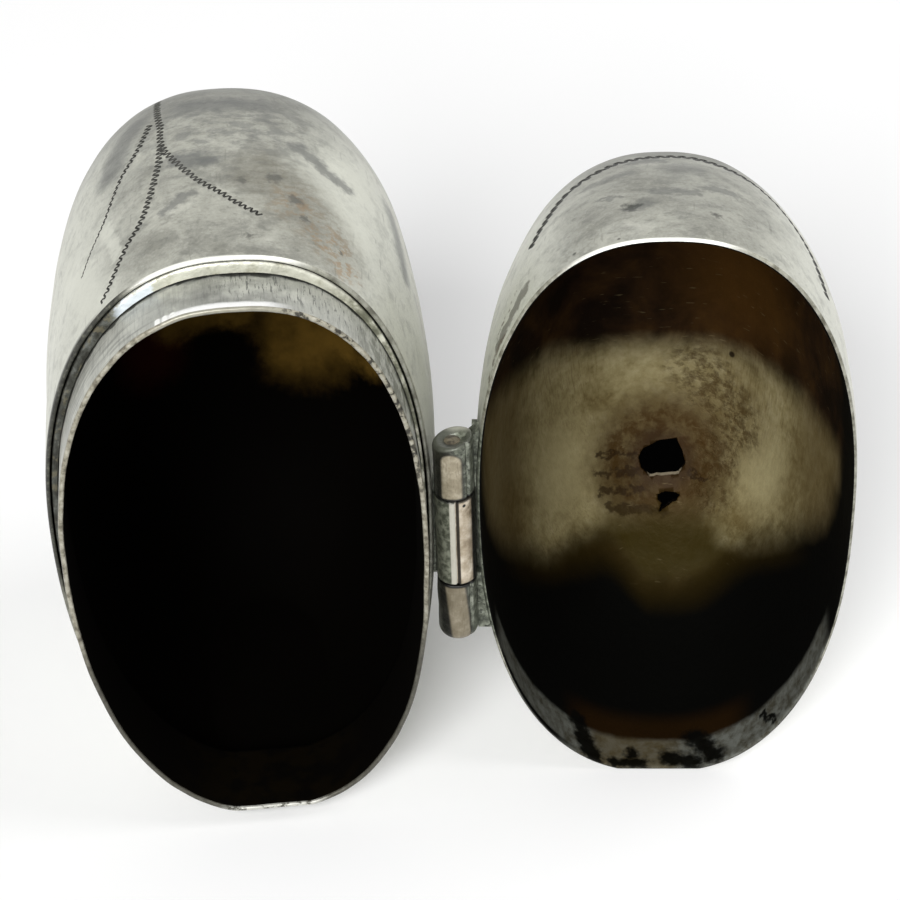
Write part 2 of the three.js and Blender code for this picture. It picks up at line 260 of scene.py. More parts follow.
def grid_faces(rows, steps, joined=False):
    """Quads between successive rings of points; joined rings close into a ring of their own."""
    faces = []
    for row in range(rows if joined else rows - 1):
        first = row * steps
        second = ((row + 1) % rows) * steps
        for step in range(steps):
            after = (step + 1) % steps
            faces.append((first + step, first + after, second + after, second + step))
    return faces


def fan_faces(ring, pole, outward):
    faces = []
    for step in range(STEPS):
        after = (step + 1) % STEPS
        faces.append((ring + step, ring + after, pole) if outward else (ring + after, ring + step, pole))
    return faces


def unit(vectors):
    return vectors / np.linalg.norm(vectors, axis=1, keepdims=True)


def unevenness(points, seed, size, height):
    """Hand-raised waviness, the same each run, as a distance along each point's outward direction."""
    shift = Vector((seed, seed * 2, seed * 3))
    return np.array([noise.noise(Vector(point) / size + shift) for point in points]) * height


def dented(points, centre, dents, seed):
    """Pushes points in or out by the hand-raised waviness and by the dents."""
    push = sum(unevenness(points, seed + more, size, height) for more, size, height in SHELL_WAVES)
    push *= np.clip(points[:, 1] / WAVES_WHOLE, WAVES_AT_MOUTH, 1)
    for place, radius, depth in dents:
        distance = np.linalg.norm(points - np.array(place), axis=1)
        push -= depth * np.exp(-(distance / radius) ** 2)
    return points + unit(points - centre) * push[:, None]


def added(name, data):
    """A new object of the scene with the mesh, light or camera given."""
    piece = bpy.data.objects.new(name, data)
    bpy.context.scene.collection.objects.link(piece)
    return piece


def new_object(name, points, faces, place, materials, zones=None, smooth=True):
    mesh = bpy.data.meshes.new(name)
    mesh.from_pydata([tuple(point) for point in np.asarray(points) * MM], [], faces)
    for material in materials:
        mesh.materials.append(material)
    if zones is not None:
        mesh.polygons.foreach_set("material_index", zones)
    mesh.polygons.foreach_set("use_smooth", [smooth] * len(mesh.polygons))
    mesh.update()
    piece = added(name, mesh)
    piece.matrix_world = place
    return piece


def settle(piece):
    """Writes the piece's place into its mesh, so that its own axes are the frame's."""
    piece.data.transform(piece.matrix_world)
    piece.matrix_world = Matrix()


def stand_for(piece, node, body):
    settle(piece)
    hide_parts(node)
    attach(piece, body)


def shell(name, half, place, materials, dents, seed, lip):
    """One half of the egg: outside, worn edge and inside; lip is the zone of the edge's inner part."""
    shares, length = shell_shares(half), half["length"]
    rows = [(0.0, share * length, OUTSIDE) for share in reversed(shares)]
    rows += [(*corner, zone) for corner, zone in zip(EDGE, (OUTSIDE, RIM, RIM, RIM, lip, lip, INSIDE))]
    rows += [(SHEET, share * (length - SHEET), INSIDE) for share in shares]
    poles = [[0, length, 0], [0, length - SHEET, 0]]
    points = np.concatenate([shell_row(half, depth, inset) for inset, depth, zone in rows] + [poles])
    faces = grid_faces(len(rows), STEPS)
    zones = [zone for inset, depth, zone in rows[:-1] for step in range(STEPS)]
    outer_pole = len(rows) * STEPS
    faces += fan_faces(0, outer_pole, False)
    faces += fan_faces((len(rows) - 1) * STEPS, outer_pole + 1, True)
    zones += [OUTSIDE] * STEPS + [INSIDE] * STEPS
    points = dented(points, np.array([0, length * WAVE_CENTRE, 0]), dents, seed)
    points[:, 1] = np.maximum(points[:, 1], MOUTH_SPARE)
    points[:, 2] = np.maximum(points[:, 2], -BASE)
    return new_object(name, points, faces, place, materials, zones)


def band(name, corners, materials, zones, wave, seed):
    """A ring round the body's mouth; corners are (inset, depth)."""
    points = np.concatenate([oval_row(BODY, 0.0, inset, depth) for inset, depth in corners])
    away = unit(points * [1, 0, 1])
    depth_stretch, circle = 0.3, 20
    points = points + away * unevenness(points * [1, depth_stretch, 1], seed, BAND_WAVE, wave)[:, None]
    points[:, 1] += unevenness(away * circle, seed + 2, BAND_EDGE_WAVE, wave)
    zones = [zone for zone in zones for step in range(STEPS)]
    return new_object(name, points, grid_faces(len(corners), STEPS, True), BODY_PLACE, materials, zones)


def rounded_end(end, radius, inward):
    """Rings of a knuckle's softened end, from its face to its full radius."""
    turns = np.linspace(0, math.pi / 2, ROUND_STEPS)
    return [(KNUCKLE_RADIUS - radius * (1 - math.sin(t)), end + inward * radius * (1 - math.cos(t)))
            for t in turns]


def barrel(name, bottom, top, round_bottom, round_top, slope, seam, place, materials, seed):
    """A rolled knuckle with softened ends, the open seam of its sheet and a top that may rise towards +X."""
    r = KNUCKLE_RADIUS
    lower, upper = rounded_end(bottom, round_bottom, 1), rounded_end(top, round_top, -1)[::-1]
    middle = [(r, level) for level in np.linspace(lower[-1][1], upper[0][1], BARREL_ROWS)[1:-1]]
    rings = [(KNUCKLE_BORE, bottom)] + lower + middle + upper + [(KNUCKLE_BORE, top)]
    angle = 2 * math.pi * np.arange(BARREL_STEPS) / BARREL_STEPS
    from_seam = np.angle(np.exp(1j * (angle - math.radians(seam)))) * r
    groove = SEAM_DEPTH * np.exp(-(from_seam / SEAM_WIDTH) ** 2)
    points = []
    for radius, level in rings:
        reach = radius - (groove if radius > KNUCKLE_BORE else 0)
        x = reach * np.cos(angle)
        near_rim = np.clip((radius - PIN_HEAD) / (r - PIN_HEAD), 0, 1)
        near_top = np.clip((level - top) / KNUCKLE_SLOPE_LENGTH + 1, 0, 1)
        rise = slope * (near_rim * near_top) * (x + r) / (2 * r)
        points.append(np.stack([x, reach * np.sin(angle), level + rise], 1))
    points = np.concatenate(points)
    away = unit(points * [1, 1, 0])
    points = points + away * unevenness(points, seed, *KNUCKLE_WAVES)[:, None]
    return new_object(name, points, grid_faces(len(rings), BARREL_STEPS, True), place, materials)


# Engraving and holes.

def resampled(corners):
    """A smooth line through the corners, as places evenly apart."""
    corners = [Vector(corner) for corner in corners]
    ends = [2 * corners[0] - corners[1]] + corners + [2 * corners[-1] - corners[-2]]
    line = []
    for a, b, c, d in zip(ends, ends[1:], ends[2:], ends[3:]):
        for t in np.linspace(0, 1, CURVE_STEPS, endpoint=False):
            bend, twist = 2 * a - 5 * b + 4 * c - d, 3 * b - 3 * c + d - a
            line.append((2 * b + (c - a) * t + bend * t * t + twist * t ** 3) / 2)
    places = [line[0]]
    for place in line:
        if (place - places[-1]).length >= LINE_SPACING:
            places.append(place)
    return places


def sway(walked, seed, share, rate, row):
    """A factor near 1 that drifts along a walked line, the same each run."""
    return 1 + share * noise.noise(Vector((walked * rate, seed, row)))


def turning_points(tree, corners, pitch, reaches, seed):
    """Where a zigzag walked along a line over a shell's top turns, with the outward directions there."""
    down = Vector((0, 0, -1))
    tops = [tree.ray_cast(Vector((x, y, ABOVE_SHELLS)), down)[:2] for x, y in resampled(corners)]
    tops = [top for top in tops if top[0] is not None]
    turns = []
    walked, wanted = 0.0, 0.0
    whole = sum((after[0] - before[0]).length for before, after in zip(tops, tops[1:]))
    for (before, facing), (after, _) in zip(tops, tops[1:]):
        walked += (after - before).length
        if walked < wanted:
            continue
        wanted += pitch / 2 * sway(walked, seed, *PITCH_SWAY)
        side = facing.cross(after - before).normalized()
        reach = reaches[0] + (reaches[1] - reaches[0]) * walked / whole
        way = reach if len(turns) % 2 else -reach
        turn = after + side * way * sway(walked, seed, *REACH_SWAY)
        found = tree.ray_cast(turn + facing, -facing)
        turns.append(found[:2] if found[0] is not None else (turn, facing))
    return turns


def stroke_body(start, end, facing, width, points, faces):
    """Adds one boat-shaped cutter for the cut from start to end, a little above the surface."""
    along = end - start
    side = facing.cross(along).normalized() * width / 2 * (1 + CUT_LIFT / CUT_DEPTH)
    first = len(points)
    up, down = facing * CUT_LIFT, facing * CUT_DEPTH
    near, far = [start + along * share for share in CUT_WIDEST]
    points += [start + up, near + up + side, far + up + side, end + up, far + up - side, near + up - side,
               near - down, far - down]
    boat = [(0, 5, 4, 3, 2, 1), (0, 1, 6), (1, 2, 7, 6), (2, 3, 7), (3, 4, 7), (4, 5, 6, 7), (5, 0, 6)]
    faces += [tuple(first + corner for corner in face) for face in boat]


def engraving(piece, tree, corners, pitch, reaches, seed, material):
    """Two sets of cutters for one engraved line: the strokes one way, and those back."""
    turns = turning_points(tree, corners, pitch, reaches, seed)
    cutters = []
    for odd in (0, 1):
        points, faces = [], []
        for (start, facing), (end, _) in list(zip(turns, turns[1:]))[odd::2]:
            stroke_body(start, end, facing, CUT_SHARE * max(reaches), points, faces)
        cutters.append(new_object("cutter", points, faces, piece.matrix_world, [material], smooth=False))
    return cutters


def prism_faces(count):
    """Outward faces of a prism whose two ends, the nearer first, run clockwise as the camera sees them."""
    faces = [tuple(range(count)), tuple(range(2 * count - 1, count - 1, -1))]
    faces += [(k, k + count, (k + 1) % count + count, (k + 1) % count) for k in range(count)]
    return [face[::-1] for face in faces]


def hole_cutter(piece, outline, material):
    """A prism along the lid's depth with the worn outline."""
    points = [(x, depth, z) for depth in HOLE_CUT for x, z in outline]
    faces = prism_faces(len(outline))
    return new_object("cutter", points, faces, piece.matrix_world, [material], smooth=False)


def roughened(outline, seed):
    """The outline with three ragged points between each two corners."""
    ragged = []
    corner_stride, share_stride = 3.7, 9
    for k, (x, z) in enumerate(outline):
        after = outline[(k + 1) % len(outline)]
        for share in (0, 0.25, 0.5, 0.75):
            walked = k * corner_stride + share * share_stride
            wobble = HOLE_WAVE * noise.noise(Vector((walked, seed, 0))) if share else 0
            ragged.append((x + (after[0] - x) * share + wobble, z + (after[1] - z) * share - wobble))
    return ragged


def cut_away(piece, cutters):
    for cutter in cutters:
        modifier = piece.modifiers.new("cut", "BOOLEAN")
        modifier.operation = "DIFFERENCE"
        modifier.solver = "MANIFOLD"
        modifier.material_mode = "TRANSFER"
        modifier.object = cutter
    graph = bpy.context.evaluated_depsgraph_get()
    mesh = bpy.data.meshes.new_from_object(piece.evaluated_get(graph))
    piece.modifiers.clear()
    piece.data = mesh
    for cutter in cutters:
        bpy.data.objects.remove(cutter)


def shade_sheet(name, outline, material):
    """A black sheet in a worn hole near the outer face of the sheet, painted shade for what is seen through
    the hole.
    """
    middle = np.mean(outline, axis=0)
    spread = [tuple(middle + (np.array(corner) - middle) * FILM_SPREAD) for corner in outline]
    points = [(x, crown_depth(LID, x, z, inset), z) for inset in FILM_INSETS for x, z in spread]
    return new_object(name, points, prism_faces(len(outline)), LID_PLACE, [material], smooth=False)


# Materials.

def shade(colour):
    """Red, green and blue as they look, 0 to 255, as the linear values that shaders take; sockets stay."""
    def linear(value):
        value /= 255
        return value / 12.92 if value <= 0.04045 else ((value + 0.055) / 1.055) ** 2.4
    return (*map(linear, colour), 1) if isinstance(colour, tuple) else colour


class Nodes:
    """Adds and joins the nodes of one tree."""

    def __init__(self, tree):
        self.tree = tree

    def add(self, kind, values=None, **settings):
        node = self.tree.nodes.new(kind)
        for key, value in settings.items():
            setattr(node, key, value)
        for key, value in (values or {}).items():
            self.put(node.inputs[key], value)
        return node

    def put(self, socket, value):
        if isinstance(value, bpy.types.NodeSocket):
            self.tree.links.new(value, socket)
        else:
            socket.default_value = value

    def math(self, operation, first, *others):
        """The values joined one after another by the operation."""
        for value in others:
            first = self.add("ShaderNodeMath", {0: first, 1: value}, operation=operation).outputs[0]
        return first

    def plus(self, *values):
        return self.math("ADD", *values)

    def minus(self, *values):
        return self.math("SUBTRACT", *values)

    def times(self, *values):
        return self.math("MULTIPLY", *values)

    def most(self, *values):
        return self.math("MAXIMUM", *values)

    def blend(self, factor, a, b):
        return self.add("ShaderNodeMix", {0: factor, 2: a, 3: b}, data_type="FLOAT").outputs[0]

    def seen_directly(self):
        """1 for camera, glossy and transmission rays."""
        path = self.add("ShaderNodeLightPath").outputs
        return self.most(*[path[f"Is {ray} Ray"] for ray in ("Camera", "Glossy", "Transmission")])


class Graph(Nodes):
    """The nodes of one material; places are millimetres in the axes of the given place."""

    def __init__(self, name, axes):
        self.material = bpy.data.materials.new(name)
        self.material.use_nodes = True
        super().__init__(self.material.node_tree)
        self.tree.nodes.clear()
        self.shader = self.add("ShaderNodeBsdfPrincipled")
        self.add("ShaderNodeOutputMaterial", {0: self.shader.outputs[0]})
        place = self.add("ShaderNodeTexCoord").outputs["Object"]
        start, turn = axes.to_translation(), axes.to_euler()
        place = self.add("ShaderNodeMapping", {"Vector": place, "Location": start, "Rotation": turn},
                         vector_type="TEXTURE").outputs[0]
        self.place = self.vector("SCALE", place, scale=1 / MM)
        self.x, self.y, self.z = self.add("ShaderNodeSeparateXYZ", {0: self.place}).outputs
        self.loose = self.loosened(1.4, 1.6)

    def loosened(self, scale, reach):
        """The place, moved by slow noise, so that what is painted there gets a ragged outline."""
        values = {"Vector": self.place, "Scale": scale, "Detail": 3.0, "Roughness": 0.6}
        drift = self.add("ShaderNodeTexNoise", values).outputs["Color"]
        drift = self.vector("SUBTRACT", drift, (0.5, 0.5, 0.5))
        return self.vector("ADD", self.place, self.vector("SCALE", drift, scale=reach))

    def vector(self, operation, a, b=(0, 0, 0), scale=1.0):
        node = self.add("ShaderNodeVectorMath", {0: a, 1: b, 3: scale}, operation=operation)
        return node.outputs["Value" if operation in ("DISTANCE", "DOT_PRODUCT") else 0]

    def noise(self, size, detail=4.0, roughness=0.55, stretch=(1, 1, 1), shift=0.0, warp=0.0):
        """Noise with features of about that many millimetres, longer where stretch is more."""
        place = self.vector("MULTIPLY", self.place, tuple(1 / (size * s) for s in stretch))
        place = self.vector("ADD", place, (shift, shift * 1.7, -shift))
        values = {"Vector": place, "Scale": 1.0, "Detail": detail, "Roughness": roughness, "Distortion": warp}
        return self.add("ShaderNodeTexNoise", values).outputs["Fac"]

    def ramp(self, value, *stops):
        """The colour that a value gives, between stops of a value and a colour each."""
        node = self.add("ShaderNodeValToRGB", {0: value})
        while len(node.color_ramp.elements) < len(stops):
            node.color_ramp.elements.new(0.5)
        for element, (position, colour) in zip(node.color_ramp.elements, stops):
            element.position = position
            element.color = shade(colour)
        return node.outputs[0]

    def level(self, value, low, high):
        """0 below low, 1 above high, smooth between; falls where low is the larger."""
        node = self.add("ShaderNodeMapRange", {"Value": value, "From Min": low, "From Max": high})
        node.interpolation_type = "SMOOTHSTEP"
        return node.outputs[0]

    def away(self, value, centre, low, high):
        """The level of how far a value is from the centre, either way."""
        return self.level(self.most(self.minus(value, centre), self.minus(centre, value)), low, high)

    def top(self, centre, wide, narrow):
        """1 on the upper middle of a mouth, falling to 0 on both sides and below."""
        return self.times(self.away(self.x, centre, wide, narrow), self.level(self.z, 0, 6))

    def mix(self, factor, a, b, blend="MIX"):
        values = {0: factor, 6: shade(a), 7: shade(b)}
        return self.add("ShaderNodeMix", values, data_type="RGBA", blend_type=blend).outputs[2]

    def over(self, under, colour, *strengths):
        """One colour with another over it, as strongly as the product of the strengths."""
        return self.mix(self.times(*strengths), under, colour)

    def paint(self, colour, *strengths):
        """Puts a colour over the material's own."""
        self.colour = self.over(self.colour, colour, *strengths)

    def spot(self, centre, radius, soft=0.5, tight=False):
        """1 within the radius of a place, falling to 0 outside; ragged unless tight."""
        distance = self.vector("DISTANCE", self.place if tight else self.loose, centre)
        return self.level(distance, radius * (1 + soft), radius * (1 - soft))

    def stroke(self, start, end, radius, soft=0.5, tight=False):
        """1 within the radius of a straight line between two places, falling to 0 outside."""
        start, end = Vector(start), Vector(end)
        place = self.vector("SUBTRACT", self.place if tight else self.loose, tuple(start))
        along = end - start
        share = self.vector("DOT_PRODUCT", place, tuple(along / along.length_squared))
        share = self.math("MINIMUM", self.most(share, 0.0), 1.0)
        foot = self.vector("SCALE", tuple(along), scale=share)
        distance = self.vector("DISTANCE", place, foot)
        return self.level(distance, radius * (1 + soft), radius * (1 - soft))

    def marks(self, *marks, tight=False):
        """The most of several strokes and spots, each written as what stroke or spot takes."""
        kinds = [self.stroke if isinstance(mark[1], tuple) else self.spot for mark in marks]
        return self.most(*[kind(*mark, tight=tight) for kind, mark in zip(kinds, marks)])

    def bump(self, height, depth):
        return self.add("ShaderNodeBump", {"Height": height, "Distance": depth * MM}).outputs[0]

    def finish(self, metallic, roughness, normal=None, gloss=0.5):
        self.put(self.shader.inputs["Base Color"], shade(self.colour))
        self.put(self.shader.inputs["Metallic"], metallic)
        self.put(self.shader.inputs["Roughness"], roughness)
        self.put(self.shader.inputs["Specular IOR Level"], gloss)
        if normal is not None:
            self.put(self.shader.inputs["Normal"], normal)
        return self.material


def skin(g, shift):
    """Worn silver seen from outside: clouds of tarnish, smudges, small dark blotches, grain and scratches."""
    cloud = g.noise(4.5, 5, 0.62, shift=shift, warp=0.6)
    g.colour = g.ramp(cloud, (0.33, (136, 136, 126)), (0.46, (155, 155, 145)), (0.57, (170, 170, 159)),
                      (0.7, (188, 188, 177)))
    # The flanks are painted lighter, a painted sheen, and are given more metal.
    flank = g.away(g.x, 0, 4.5, 10)
    g.paint((222, 223, 212), flank, 0.75)
    smudge = g.noise(1.3, 4, 0.62, (1.5, 1, 1), shift + 3)
    g.paint((114, 115, 108), g.level(smudge, 0.47, 0.7), g.blend(flank, 0.5, 0.3))
    blotch = g.noise(0.6, 3, 0.6, (1.3, 1, 1), shift + 5)
    g.paint((98, 99, 92), g.level(blotch, 0.52, 0.7), g.blend(flank, 0.35, 0.12))
    g.paint((196, 196, 184), g.level(blotch, 0.44, 0.3), 0.22)
    grain = g.noise(0.22, 4, 0.7, shift=shift + 7)
    values = {"Value": grain, "From Min": 0.3, "From Max": 0.7, "To Min": 0.34, "To Max": 0.64}
    lightness = g.add("ShaderNodeMapRange", values).outputs[0]
    g.colour = g.mix(0.7, g.colour, lightness, "SOFT_LIGHT")
    scratch = g.level(g.noise(0.11, 2, 0.5, (3, 26, 3), shift + 9), 0.66, 0.74)
    g.paint((108, 108, 100), scratch, 0.35)
    height = g.plus(g.times(smudge, 0.5), g.times(grain, 0.22))
    return cloud, height, g.blend(flank, 0.3, 0.8)


def body_outside():
    g = Graph("body_outside", BODY_PLACE)
    cloud, height, metal = skin(g, 0)
    # Painted highlights: pale marks on both shoulders and the right flank.
    pale = g.marks(
        ((6, 11.5, 23.2), (9.6, 6.5, 20.6), 1.7, 0.8), ((9.1, 12.9, 20.9), 2.6, 0.7),
        ((12.8, 6.5, 11.6), (13, 1.5, 7), 2, 0.7), ((-10.6, 9, 17), (-8.2, 1.5, 20), 1.6, 0.8),
        ((-6.9, 4.5, 21.8), (-7.8, 9, 21.2), 0.5, 0.6))
    g.paint((218, 219, 207), pale, 0.6)
    streaks = g.level(g.noise(0.9, 4, 0.6, (1.7, 1, 1), 31), 0.44, 0.62)
    g.paint((104, 106, 103), g.spot((1, 15.5, 24.2), 6.5, 0.5), streaks, 0.55)
    dull = g.marks(
        ((5.6, 13.5, 23.2), (8.6, 11.4, 21.3), 0.7), ((-2, 19.5, 24), (3.5, 19.2, 24), 1.2, 0.7),
        ((-3.6, 6.3, 23.9), (-1.8, 7.6, 24.1), 0.5), ((-2.4, 11.8, 24.2), (-0.6, 11.2, 24.3), 0.8),
        ((-5.6, 19.5, 22.3), (-7.4, 15, 21.5), 1.3, 0.7), ((11.6, 15, 16.4), (12.4, 9.8, 15), 1, 0.8))
    g.paint((92, 94, 92), dull, 0.65)
    drift = g.level(g.noise(0.5, 4, 0.65, (1.8, 1, 1), 43), 0.46, 0.6)
    scuffed = g.stroke((3.6, 9.4, 24), (7.2, 3.4, 21.6), 2.6, 0.7)
    g.paint((106, 102, 86), scuffed, g.blend(drift, 0.6, 1), 0.65)
    warm = g.most(g.spot((7, 3.6, 22), 1.5, 0.8), g.spot((8, 1.6, 20.9), 1.1, 0.8),
                  g.times(g.spot((5, 6.4, 23.2), 1.6, 0.8), 0.6))
    g.paint((164, 132, 92), warm, drift, 0.6)
    specks = g.marks(
        ((1.7, 8.7, 24.3), 0.4), ((3.9, 9.1, 24), 0.45), ((5, 6.8, 23.5), 0.55), ((1.7, 2.3, 23.9), 0.3),
        ((7.6, 3, 21.4), 0.22), ((5.6, 5, 23), 0.3))
    g.paint((80, 80, 74), specks, 0.75)
    # Painted shade: darker towards the far end of the dome.
    g.paint((96, 97, 92), g.level(g.y, 15, 25), 0.55)
    # The top of the rim: worn polish with a painted highlight on it.
    rim = g.plus(g.y, g.times(cloud, 0.3))
    line = g.minus(0.36, g.times(g.math("POWER", g.plus(g.x, 1.8), 2), 0.008))
    polish_and_highlight = g.times(g.level(g.minus(rim, line), 0.1, -0.06), g.level(g.z, 0, 6))
    g.paint(POLISH_AND_HIGHLIGHT, polish_and_highlight)
    grime = g.times(g.level(rim, 0.75, 0.35), g.level(g.x, -7.4, -8.6), g.level(g.z, 21, 18))
    g.paint((42, 43, 38), grime, 0.85)
    roughness = g.blend(polish_and_highlight, g.blend(cloud, 0.5, 0.42), 0.22)
    return g.finish(g.most(metal, g.times(polish_and_highlight, 0.8)), roughness, g.bump(height, 0.1))


def lid_outside():
    g = Graph("lid_outside", LID_PLACE)
    cloud, height, metal = skin(g, 11)
    dull = g.marks(
        ((-2.2, 13.5, 21.3), (-0.4, 13.6, 21.3), 0.7), ((1.2, 11.7, 22), 1.5, 0.7),
        ((-0.8, 6.8, 23.2), (2, 6.8, 23.2), 0.5), ((2.6, 7.8, 22.6), (4.6, 7.8, 22.4), 0.5),
        ((-1.6, 4.9, 23.3), 0.8, 0.6), ((-4.4, 6.8, 22.6), (-3.2, 6.4, 22.9), 0.35),
        ((-5.4, 10.4, 21.6), (-2.4, 10.9, 22.3), 0.6, 0.7))
    g.paint((92, 94, 90), dull, 0.6)
    pit = g.spot((-2.4, 4.7, 23.3), 0.6, 0.4)
    g.paint((50, 52, 46), pit, 0.9)
    specks = g.marks(
        ((-1.4, 0.75, 23.7), (-1, 0.95, 23.7), 0.07), ((-3.3, 0.6, 23.4), 0.11), ((-6.2, 0.9, 22.1), 0.14),
        tight=True)
    specks = g.most(specks, g.spot((3.2, 3.6, 23.3), 0.35))
    g.paint((50, 48, 42), specks, 0.8)
    facet = g.stroke((-9.6, 1.9, 18.6), (-11.2, 1.3, 14.6), 0.6, 0.25)
    g.paint((104, 101, 88), facet, 0.8)
    rust = g.marks(
        ((-10.9, 1, 15.4), (-11.8, 0.5, 12.2), 0.3, 0.5), ((-10, 3.2, 17.4), (-11.4, 2.2, 14), 0.16))
    g.paint((88, 72, 48), rust, 0.8)
    # Painted shade: darker towards the far end of the dome.
    g.paint((98, 98, 92), g.level(g.y, 12.5, 18.5), 0.5)
    # The top of the rim: worn polish with a painted highlight on it.
    rim = g.plus(g.y, g.times(cloud, 0.3))
    polish_and_highlight = g.times(g.level(rim, 0.24, 0.16), g.top(-1, 5.5, 2.5))
    g.paint(POLISH_AND_HIGHLIGHT, polish_and_highlight)
    near_pin = g.away(g.z, -1, 10.5, 8.5)
    by_hinge = g.times(g.level(rim, 3.2, 1.8), g.level(g.x, -11.2, -12.2), near_pin)
    g.paint(old_solder(g), by_hinge, 0.9)
    roughness = g.blend(polish_and_highlight, g.blend(cloud, 0.5, 0.4), 0.22)
    return g.finish(g.most(metal, g.times(polish_and_highlight, 0.8)), roughness, g.bump(height, 0.1))


def old_solder(g):
    """The pitted grey-green of old solder."""
    cloud = g.noise(0.6, 5, 0.65, shift=33)
    grey = g.ramp(cloud, (0.38, (56, 60, 50)), (0.52, (98, 102, 89)), (0.66, (138, 142, 129)))
    pits = g.level(g.noise(0.3, 3, 0.6, shift=37), 0.57, 0.65)
    return g.over(grey, (24, 26, 19), pits, 0.8)


def body_edge():
    g = Graph("body_edge", BODY_PLACE)
    wear = g.noise(0.9, 4, 0.6, shift=2)
    g.colour = g.ramp(wear, (0.35, (96, 95, 84)), (0.6, (150, 150, 138)))
    # Painted highlight along the top of the worn edge.
    g.paint((236, 236, 228), g.top(-0.4, 6.5, 4))
    grime = g.times(g.level(g.x, -5.6, -7.4), g.level(g.z, -6, 0))
    bits = g.noise(0.4, 4, 0.65, shift=67)
    dark = g.ramp(bits, (0.4, (16, 16, 12)), (0.55, (50, 51, 45)), (0.66, (92, 92, 80)))
    g.paint(dark, grime, 0.92)
    return g.finish(0.4, 0.4, g.bump(g.noise(0.3), 0.04))


def lid_edge():
    g = Graph("lid_edge", LID_PLACE)
    wear = g.noise(0.8, 4, 0.6, shift=4)
    g.colour = g.ramp(wear, (0.35, (96, 94, 80)), (0.6, (160, 159, 146)))
    # Painted highlight along the top of the worn edge.
    g.paint((240, 240, 232), g.top(-1, 7, 3.5))
    by_hinge = g.times(g.level(g.x, -11, -12), g.away(g.z, -1, 10.5, 8.5))
    g.paint(old_solder(g), by_hinge)
    g.paint((30, 31, 26), g.level(g.z, -12, -17), 0.85)
    return g.finish(0.4, 0.4, g.bump(g.noise(0.3), 0.04))


def body_inside():
    g = Graph("body_inside", BODY_PLACE)
    cloud = g.noise(4, 5)
    # Painted light: a glow at the far end of the inside, along the top and to the right, with a dark hollow
    # in it.
    under_rim = g.stroke((-4.4, 31.9, -3), (0.5, 32.6, -3), 1.7, 0.7)
    right = g.marks(((5.2, 31.7, -4.6), 3.9, 0.6), ((6, 31.4, -4.4), (10.2, 27.9, -4.4), 1.9, 0.6))
    hollow = g.minus(1, g.spot((-1.4, 32.2, -7.2), 3.5, 0.3))
    glow = g.times(g.most(under_rim, right), hollow, g.level(cloud, 0.15, 0.7))
    stain_and_glow = g.times(g.spot((-6.9, 31, -5), 2.6, 0.7), 0.4)
    # The rest is painted black shade, with a faint reddish stain at the far end.
    g.colour = g.over(INSIDE_SHADE, (70, 24, 16), stain_and_glow)
    g.paint((112, 86, 34), glow)
    return g.finish(0, 0.8, gloss=0.03)


def lid_light(g, drift):
    """Where light reaches the lid's crown, how far above its lower limit, and that limit alone."""
    top_line = g.plus(g.times(g.math("POWER", g.minus(g.x, 1.2), 4), 0.00017), -3.2)
    lit_top = g.level(g.plus(g.minus(top_line, g.z), g.times(drift, 0.5)), -1.3, 2.4)
    fold = g.times(g.level(g.x, -8.8, -8), g.level(g.x, -0.2, -4.6), g.plus(g.x, 8.4), 0.6)
    right = g.times(g.level(g.x, 3, 8), 1.4)
    low_line = g.plus(g.times(g.math("POWER", g.x, 4), -0.00037), 16.4, g.plus(fold, right))
    above_low = g.plus(g.minus(g.y, low_line), g.times(drift, 0.3))
    lit_low = g.level(above_low, -1, 2.2)
    return g.times(lit_top, lit_low), above_low, lit_low


def olive_crown(g, cloud, mottle, drift):
    """The olive lit look of the lid's tarnished crown, painted light, with its stains and lines, and where it
    is pitted.
    """
    # Olive is the crown's tarnish as it looks where lit, painted light.
    olive = g.ramp(g.plus(g.times(cloud, 0.6), g.times(mottle, 0.4)), (0.36, (107, 94, 60)),
                   (0.5, (140, 129, 92)), (0.62, (160, 150, 114)))
    rub = g.noise(0.16, 3, 0.6, (1, 1, 22), 14)
    worn = g.marks(
        ((3.4, 26, -5.4), (6.6, 23.6, -9), 2.4, 0.5), ((5.4, 24, -9.5), (4.8, 22, -14.4), 1.8, 0.5))
    pits = g.times(g.level(g.noise(0.9, 5, 0.65, (1, 1, 0.8), 23), 0.38, 0.64), worn)
    lines = g.marks(
        ((-4.4, 23.8, -12.2), (-1.4, 24.7, -12.5), 0.26), ((-4.3, 23.1, -13.4), (-1.2, 24, -13.8), 0.32),
        ((-4.1, 22.4, -14.5), (-0.9, 23.1, -14.9), 0.3), ((-3.6, 21.7, -15.6), (0.9, 21.9, -16.3), 0.34),
        ((2.8, 23.6, -13.6), (5.4, 22.4, -14.2), 0.26))
    # The two cream patches at the sides are painted highlights, and the darkening at the bottom is painted
    # shade.
    for colour, strength, mask in (
            ((86, 68, 36), 0.35, g.times(g.level(rub, 0.5, 0.66), g.away(g.x, 0.5, 3.5, 6))),
            ((84, 68, 38), 0.65, g.away(g.x, 0.3, 9.2, 11.6)),
            ((176, 166, 126), 0.6, g.marks(((-7.2, 21, -11.5), 3.6, 0.7), ((8.4, 20, -10.7), 3, 0.7))),
            ((72, 56, 30), 0.45, g.spot((4.8, 23.6, -8.2), 4.4, 0.6)),
            ((62, 45, 20), g.blend(g.level(mottle, 0.3, 0.6), 0.7, 1), g.spot((0.6, 23.8, -12.6), 5.4, 0.35)),
            ((56, 42, 18), 0.6, g.spot((0.8, 22.4, -15.2), 4.4, 0.45)),
            ((36, 22, 9), 0.7, g.spot((0.7, 24.2, -12.8), 2.6, 0.4)),
            ((60, 44, 20), 0.75, pits),
            ((34, 22, 9), 0.75, lines),
            ((46, 37, 6), 0.95, g.level(g.plus(g.z, g.times(drift, 0.3)), -15, -17.4))):
        olive = g.over(olive, colour, mask, strength)
    return olive, pits


